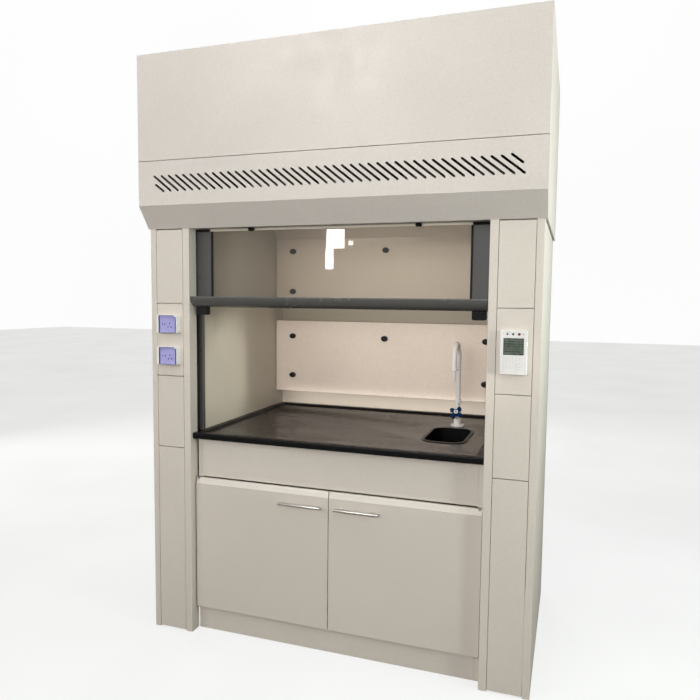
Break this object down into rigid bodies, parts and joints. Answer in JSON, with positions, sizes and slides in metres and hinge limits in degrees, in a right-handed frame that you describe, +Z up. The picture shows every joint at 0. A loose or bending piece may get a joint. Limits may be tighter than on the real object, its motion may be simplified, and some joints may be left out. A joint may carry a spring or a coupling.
{
  "type": "laboratory fume hood",
  "caption": "Free-standing walk-up fume hood with sliding sash, sloped slotted canopy, worktop with cup sink and tap, baffles and a two-door base cabinet.",
  "frame": {"origin": "centre of the footprint at floor level", "axes": "+X to the user's right seen from the front, +Y from the front to the back, +Z up"},
  "size_m": [1.5, 0.92, 2.35],
  "materials": {
    "painted_steel": "warm light grey powder coat",
    "coated_board": "board with a light grey coated face",
    "liner": "pale beige laminate",
    "baffle_board": "cream laminate",
    "worktop_stone": "dark matt",
    "black_plastic": "black moulded",
    "grey_plastic": "moulded",
    "black_rubber": "matt black",
    "dark_aluminium": "dark grey powder coat",
    "clear_glass": "clear",
    "steel": "brushed",
    "stainless": "satin stainless",
    "galvanised": "galvanised",
    "iron": "cast",
    "tap_coat": "light epoxy coat",
    "blue_plastic": "blue moulded",
    "white_plastic": "white moulded",
    "violet_cover": "translucent blue-violet",
    "display": "grey-green display",
    "key_rubber": "soft grey"
  },
  "bodies": {
    "cabinet": {"side_panels": "painted_steel", "rear_panel": "painted_steel", "roof_panel": "painted_steel", "canopy_access_panel": "painted_steel", "canopy_grille_panel": "painted_steel", "canopy_cheeks": "painted_steel", "columns": "painted_steel", "column_cover_plates": "painted_steel", "cabinet_apron_and_plinth": "painted_steel", "base_carcass": "coated_board", "cabinet_shelf": "coated_board", "side_liners": "liner", "rear_liner": "liner", "ceiling_liner": "liner", "lower_baffle": "baffle_board", "upper_baffle": "baffle_board", "worktop": "worktop_stone", "cup_sink": "black_plastic", "baffle_knobs": "black_plastic", "sink_trap": "grey_plastic", "exhaust_duct": "grey_plastic", "frame_seals": "black_rubber", "sash_tracks": "dark_aluminium", "lamp_window": "clear_glass", "top_cables": "steel", "door_pivots": "steel", "pulley_brackets_and_guides": "galvanised", "exhaust_collar": "galvanised", "lamp_housing": "galvanised", "tap_base": "tap_coat", "socket_boxes": "white_plastic", "socket_faces": "white_plastic", "controller_case": "white_plastic", "controller_display": "display"},
    "sash": {"sash_frame": "dark_aluminium", "sash_glass": "clear_glass", "sash_handle": "dark_aluminium", "sash_rubber": "black_rubber", "sash_cables": "steel"},
    "counterweight_pair": {"counterweights": "iron", "counterweight_cables": "steel"},
    "front_pulleys": {"front_pulley_shaft": "steel"},
    "rear_pulleys": {"rear_pulley_shaft": "steel"},
    "left_door_leaf": {"left_door": "coated_board", "left_door_handle": "stainless"},
    "right_door_leaf": {"right_door": "coated_board", "right_door_handle": "stainless"},
    "upper_cover": {"upper_socket_cover": "violet_cover"},
    "lower_cover": {"lower_socket_cover": "violet_cover"},
    "tap_knob": {"tap_handle": "blue_plastic"},
    "spout": {"tap_spout": "tap_coat"},
    "key_1_cap": {"key_1": "key_rubber"},
    "key_2_cap": {"key_2": "key_rubber"},
    "key_3_cap": {"key_3": "key_rubber"},
    "key_4_cap": {"key_4": "key_rubber"},
    "key_5_cap": {"key_5": "key_rubber"},
    "key_6_cap": {"key_6": "key_rubber"},
    "key_7_cap": {"key_7": "key_rubber"},
    "key_8_cap": {"key_8": "key_rubber"},
    "key_9_cap": {"key_9": "key_rubber"}
  },
  "joints": [
    {"name": "sash_slide", "type": "slide", "parent": "cabinet", "child": "sash", "axis": [0, 0, 1], "range_m": [-0.465, 0.065], "deforming": ["sash_cables"]},
    {"name": "counterweight_slide", "type": "slide", "parent": "cabinet", "child": "counterweight_pair", "axis": [0, 0, 1], "range_m": [-0.0655, 0.4655], "deforming": ["counterweight_cables"]},
    {"name": "front_pulley_turn", "type": "hinge", "parent": "cabinet", "child": "front_pulleys", "pos_m": [0, -0.3, 2.192], "axis": [1, 0, 0], "range_deg": [-114, 809]},
    {"name": "rear_pulley_turn", "type": "hinge", "parent": "cabinet", "child": "rear_pulleys", "pos_m": [0, 0.386, 2.192], "axis": [1, 0, 0], "range_deg": [-114, 809]},
    {"name": "left_door_swing", "type": "hinge", "parent": "cabinet", "child": "left_door_leaf", "pos_m": [-0.557, -0.362, 0.363], "axis": [0, 0, -1], "range_deg": [0, 90]},
    {"name": "right_door_swing", "type": "hinge", "parent": "cabinet", "child": "right_door_leaf", "pos_m": [0.557, -0.362, 0.363], "axis": [0, 0, 1], "range_deg": [0, 90]},
    {"name": "upper_cover_lift", "type": "hinge", "parent": "cabinet", "child": "upper_cover", "pos_m": [-0.6585, -0.4266, 1.273], "axis": [-1, 0, 0], "range_deg": [0, 110]},
    {"name": "lower_cover_lift", "type": "hinge", "parent": "cabinet", "child": "lower_cover", "pos_m": [-0.6585, -0.4266, 1.149], "axis": [-1, 0, 0], "range_deg": [0, 110]},
    {"name": "tap_knob_turn", "type": "hinge", "parent": "cabinet", "child": "tap_knob", "pos_m": [0.379, 0.1644, 0.86507], "axis": [0, -0.766, 0.6428], "range_deg": [0, 540]},
    {"name": "spout_swivel", "type": "hinge", "parent": "cabinet", "child": "spout", "pos_m": [0.379, 0.205, 0.95], "axis": [0, 0, 1], "range_deg": [-150, 150]},
    {"name": "key_1_press", "type": "slide", "parent": "cabinet", "child": "key_1_cap", "axis": [0, 1, 0], "range_m": [0, 0.0008], "stiffness_N_per_m": 300},
    {"name": "key_2_press", "type": "slide", "parent": "cabinet", "child": "key_2_cap", "axis": [0, 1, 0], "range_m": [0, 0.0008], "stiffness_N_per_m": 300},
    {"name": "key_3_press", "type": "slide", "parent": "cabinet", "child": "key_3_cap", "axis": [0, 1, 0], "range_m": [0, 0.0008], "stiffness_N_per_m": 300},
    {"name": "key_4_press", "type": "slide", "parent": "cabinet", "child": "key_4_cap", "axis": [0, 1, 0], "range_m": [0, 0.0008], "stiffness_N_per_m": 300},
    {"name": "key_5_press", "type": "slide", "parent": "cabinet", "child": "key_5_cap", "axis": [0, 1, 0], "range_m": [0, 0.0008], "stiffness_N_per_m": 300},
    {"name": "key_6_press", "type": "slide", "parent": "cabinet", "child": "key_6_cap", "axis": [0, 1, 0], "range_m": [0, 0.0008], "stiffness_N_per_m": 300},
    {"name": "key_7_press", "type": "slide", "parent": "cabinet", "child": "key_7_cap", "axis": [0, 1, 0], "range_m": [0, 0.0008], "stiffness_N_per_m": 300},
    {"name": "key_8_press", "type": "slide", "parent": "cabinet", "child": "key_8_cap", "axis": [0, 1, 0], "range_m": [0, 0.0008], "stiffness_N_per_m": 300},
    {"name": "key_9_press", "type": "slide", "parent": "cabinet", "child": "key_9_cap", "axis": [0, 1, 0], "range_m": [0, 0.0008], "stiffness_N_per_m": 300}
  ],
  "couplings": [
    {"joint": "counterweight_slide", "follows": "sash_slide", "ratio": -1},
    {"joint": "front_pulley_turn", "follows": "sash_slide", "rad_per_m": -30.303},
    {"joint": "rear_pulley_turn", "follows": "sash_slide", "rad_per_m": -30.303}
  ]
}
